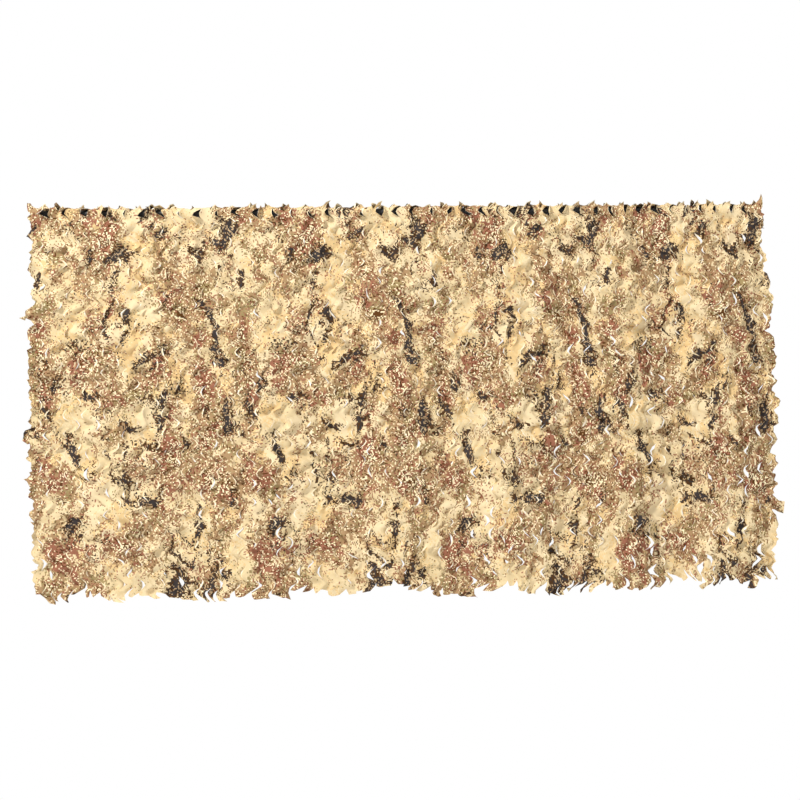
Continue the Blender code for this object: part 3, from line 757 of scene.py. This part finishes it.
def printed_polyester():
    """Thin woven polyester, screen printed in blocks and cut hot: matt, with inks that run into each
    other as specks, a faint weave, and along the cuts a thin pale edge, partly raw cloth and partly
    painted highlight, with small painted glints."""
    made = bpy.data.materials.new("woven polyester, screen printed")
    made.use_nodes = True
    tree = made.node_tree
    shader = tree.nodes["Principled BSDF"]

    cloth = add(tree, "ShaderNodeAttribute", attribute_name="cloth").outputs["Vector"]
    block = add(tree, VECTOR_MATHS, {0: cloth, 1: (BLOCK, BLOCK, 1.0)}, operation="SNAP")
    sides = add(tree, "ShaderNodeSeparateXYZ", {0: block}).outputs

    # Blots are read round a ring as long as the repeat, so that the print comes round without a seam
    radius = REPEAT / (2 * math.pi)
    turn = add(tree, MATHS, {0: sides[0], 1: 1 / radius}, operation="MULTIPLY")
    cosine = add(tree, MATHS, {0: turn}, operation="COSINE")
    sine = add(tree, MATHS, {0: turn}, operation="SINE")
    ring_x = add(tree, MATHS, {0: cosine, 1: radius}, operation="MULTIPLY")
    ring_y = add(tree, MATHS, {0: sine, 1: radius}, operation="MULTIPLY")
    ring = add(tree, "ShaderNodeCombineXYZ", {0: ring_x, 1: ring_y, 2: sides[1]})

    def blots(size, tall, seed, torn):
        """A value that rises in blots on the ring, each as many times taller than wide as asked."""
        where = {
            "Vector": add(tree, VECTOR_MATHS, {0: ring, 1: (1, 1, 1 / tall)}, operation="MULTIPLY"),
            "W": seed,
            "Scale": size,
            "Detail": BLOT_DETAIL,
            "Roughness": BLOT_ROUGHNESS,
            "Distortion": torn,
        }
        return add(tree, BLOTS, where, noise_dimensions="4D")

    colour = linear(SAND)
    brown = blots(*BROWN_BLOTS)
    for ink, size, tall, seed, follow, level, flecks, fleck_seed, torn in INKS:
        own = add(tree, MATHS, {0: blots(size, tall, seed, torn), 1: 1 - follow}, operation="MULTIPLY")
        followed = add(tree, MATHS, {0: brown, 1: follow}, operation="MULTIPLY")
        blot = add(tree, MATHS, {0: own, 1: followed}, operation="ADD")
        speck = add(tree, SPECKS, {"Vector": block, "W": fleck_seed}, noise_dimensions="4D")
        rare = add(tree, MATHS, {0: speck, 1: FLECK_RARITY}, operation="POWER")
        fleck = add(tree, MATHS, {0: rare, 1: flecks}, operation="MULTIPLY")
        total = add(tree, MATHS, {0: blot, 1: fleck}, operation="ADD")
        mask = add(tree, MATHS, {0: total, 1: level}, operation="GREATER_THAN")
        layers = {"Factor": mask, MIX_UNDER: colour, MIX_OVER: linear(ink)}
        colour = add(tree, MIX, layers, data_type="RGBA").outputs[MIXED]

    # Pale edge along the cuts: partly raw undyed cloth, partly a painted highlight of edges that catch
    # the light
    rim = add(tree, "ShaderNodeAttribute", attribute_name="rim").outputs["Fac"]
    raw_edge_and_highlight = add(tree, RANGE, {"Value": rim, "From Min": RAW_EDGE_AND_HIGHLIGHT_FROM[0], "From Max": RAW_EDGE_AND_HIGHLIGHT_FROM[1]})
    layers = {"Factor": raw_edge_and_highlight, MIX_UNDER: colour, MIX_OVER: linear(RAW_EDGE_AND_HIGHLIGHT)}
    colour = add(tree, MIX, layers, data_type="RGBA").outputs[MIXED]
    # Painted glints: small white spots along the cuts where the curled edges would catch the light, on
    # blocks whose luck is high
    glint_luck = add(tree, SPECKS, {"Vector": block, "W": PAINTED_GLINT_SEED}, noise_dimensions="4D")
    glint_share = add(tree, MATHS, {0: rim, 1: glint_luck}, operation="MULTIPLY")
    painted_glint_mask = add(tree, RANGE, {"Value": glint_share, "From Min": PAINTED_GLINT_FROM[0], "From Max": PAINTED_GLINT_FROM[1]})
    layers = {"Factor": painted_glint_mask, MIX_UNDER: colour, MIX_OVER: linear(PAINTED_GLINT)}
    colour = add(tree, MIX, layers, data_type="RGBA").outputs[MIXED]
    tree.links.new(colour, shader.inputs["Base Color"])
    least, most = CLOTH_ROUGHNESS
    rough = add(tree, RANGE, {"Value": brown, "To Min": least, "To Max": most})
    tree.links.new(rough.outputs[0], shader.inputs["Roughness"])
    shader.inputs["IOR"].default_value = POLYESTER_IOR
    shader.inputs["Specular IOR Level"].default_value = CLOTH_GLOSS

    around = (2 * math.pi / THREAD,) * 3
    angles = add(tree, VECTOR_MATHS, {0: cloth, 1: around}, operation="MULTIPLY")
    threads = add(tree, "ShaderNodeSeparateXYZ", {0: angles}).outputs
    warp = add(tree, MATHS, {0: threads[0]}, operation="SINE")
    weft = add(tree, MATHS, {0: threads[1]}, operation="SINE")
    weave = add(tree, MATHS, {0: warp, 1: weft}, operation="MULTIPLY")
    height = {"Height": weave, "Strength": WEAVE_STRENGTH, "Distance": WEAVE_HEIGHT}
    bump = add(tree, "ShaderNodeBump", height)
    tree.links.new(bump.outputs[0], shader.inputs["Normal"])
    return made


# Painted tube
TUBE_BLACKS = ("#161617", "#26262a")  # fresh paint and worn paint
TUBE_MOTTLE = 60.0  # patches per metre where the paint is more or less worn
TUBE_DETAIL = 4.0
TUBE_ROUGHNESS = (0.35, 0.55)


def black_paint():
    """Steel tube with satin black paint: dark, with a soft shine along its length."""
    made = bpy.data.materials.new("steel tube, satin black paint")
    made.use_nodes = True
    tree = made.node_tree
    shader = tree.nodes["Principled BSDF"]
    place = add(tree, "ShaderNodeTexCoord").outputs["Object"]
    wear = add(tree, BLOTS, {"Vector": place, "Scale": TUBE_MOTTLE, "Detail": TUBE_DETAIL})
    fresh, worn = TUBE_BLACKS
    layers = {"Factor": wear, MIX_UNDER: linear(fresh), MIX_OVER: linear(worn)}
    shade = add(tree, MIX, layers, data_type="RGBA").outputs[MIXED]
    tree.links.new(shade, shader.inputs["Base Color"])
    least, most = TUBE_ROUGHNESS
    rough = add(tree, RANGE, {"Value": wear, "To Min": least, "To Max": most})
    tree.links.new(rough.outputs[0], shader.inputs["Roughness"])
    return made


# Studio
RENDER_WIDTH = 800  # pixels
PIXEL = 0.0035  # metres at the netting for one pixel of the render
FACED = (0.00175, -0.658)  # the place that the camera faces, right of and above the pole's middle
CAMERA_DISTANCE = 9.0  # metres in front of the pole
CAMERA_ROLL = 0.40  # degrees
SENSOR = 36.0  # millimetres
FLOOR_DROP = 2.2  # metres below the pole's axis
FLOOR_SIZE = (9.0, 5.8)
FLOOR_BACK = 0.8  # how far it reaches behind the netting
FLOOR_WHITE = "#f4f4f4"
FLOOR_ROUGHNESS = 0.9
DAYLIGHT = 0.54  # of the white all round, as light
LAMPS = (
    # name, place, side in metres, watts
    ("key", (-3.4, -4.5, 5.2), 0.6, 630.0),
    ("fill", (4.5, -6.5, 0.5), 3.0, 60.0),
    ("back", (2.6, 5.5, 2.4), 3.0, 260.0),
)


def studio():
    """The floor, the light and the camera."""
    right = FLOOR_SIZE[0] / 2
    front = FLOOR_BACK - FLOOR_SIZE[1]
    corners = [(-right, front), (right, front), (right, FLOOR_BACK), (-right, FLOOR_BACK)]
    plane = bpy.data.meshes.new("floor")
    plane.from_pydata([(x, y, -FLOOR_DROP) for x, y in corners], [], [(0, 1, 2, 3)])
    floor = bpy.data.objects.new("floor", plane)
    bpy.context.scene.collection.objects.link(floor)
    pale = bpy.data.materials.new("matt white studio floor")
    pale.use_nodes = True
    finish = pale.node_tree.nodes["Principled BSDF"].inputs
    finish["Base Color"].default_value = linear(FLOOR_WHITE)
    finish["Roughness"].default_value = FLOOR_ROUGHNESS
    floor.data.materials.append(pale)

    # The white is seen at its full strength, and the netting is lit by less of it
    world = bpy.data.worlds.new("white studio")
    world.use_nodes = True
    seen = add(world.node_tree, "ShaderNodeLightPath").outputs["Is Camera Ray"]
    levels = {"Value": seen, "To Min": DAYLIGHT, "To Max": 1.0}
    strength = add(world.node_tree, RANGE, levels)
    white = world.node_tree.nodes["Background"].inputs
    white["Color"].default_value = (1, 1, 1, 1)
    world.node_tree.links.new(strength.outputs[0], white["Strength"])
    bpy.context.scene.world = world
    bpy.context.scene.view_settings.view_transform = "Standard"

    for name, place, size, power in LAMPS:
        lamp = bpy.data.lights.new(name, "AREA")
        lamp.energy = power
        lamp.size = size
        light = bpy.data.objects.new(name, lamp)
        light.location = place
        aim = np.array((0.0, 0.0, FACED[1])) - np.array(place)
        turn = math.atan2(aim[1], aim[0]) - math.pi / 2
        tilt = math.atan2(aim[2], math.hypot(aim[0], aim[1])) + math.pi / 2
        light.rotation_euler = (tilt, 0.0, turn)
        bpy.context.scene.collection.objects.link(light)

    lens = bpy.data.cameras.new("camera")
    lens.sensor_width = SENSOR
    lens.lens = SENSOR * CAMERA_DISTANCE / (RENDER_WIDTH * PIXEL)
    camera = bpy.data.objects.new("camera", lens)
    camera.location = (FACED[0], -CAMERA_DISTANCE, FACED[1])
    camera.rotation_euler = (math.pi / 2, math.radians(CAMERA_ROLL), 0.0)
    bpy.context.scene.collection.objects.link(camera)
    bpy.context.scene.camera = camera


studio()
netting = build_netting(printed_polyester())
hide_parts("netting")
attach(netting, "root")
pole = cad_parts["pole"]
pole.material_slots[0].material = black_paint()
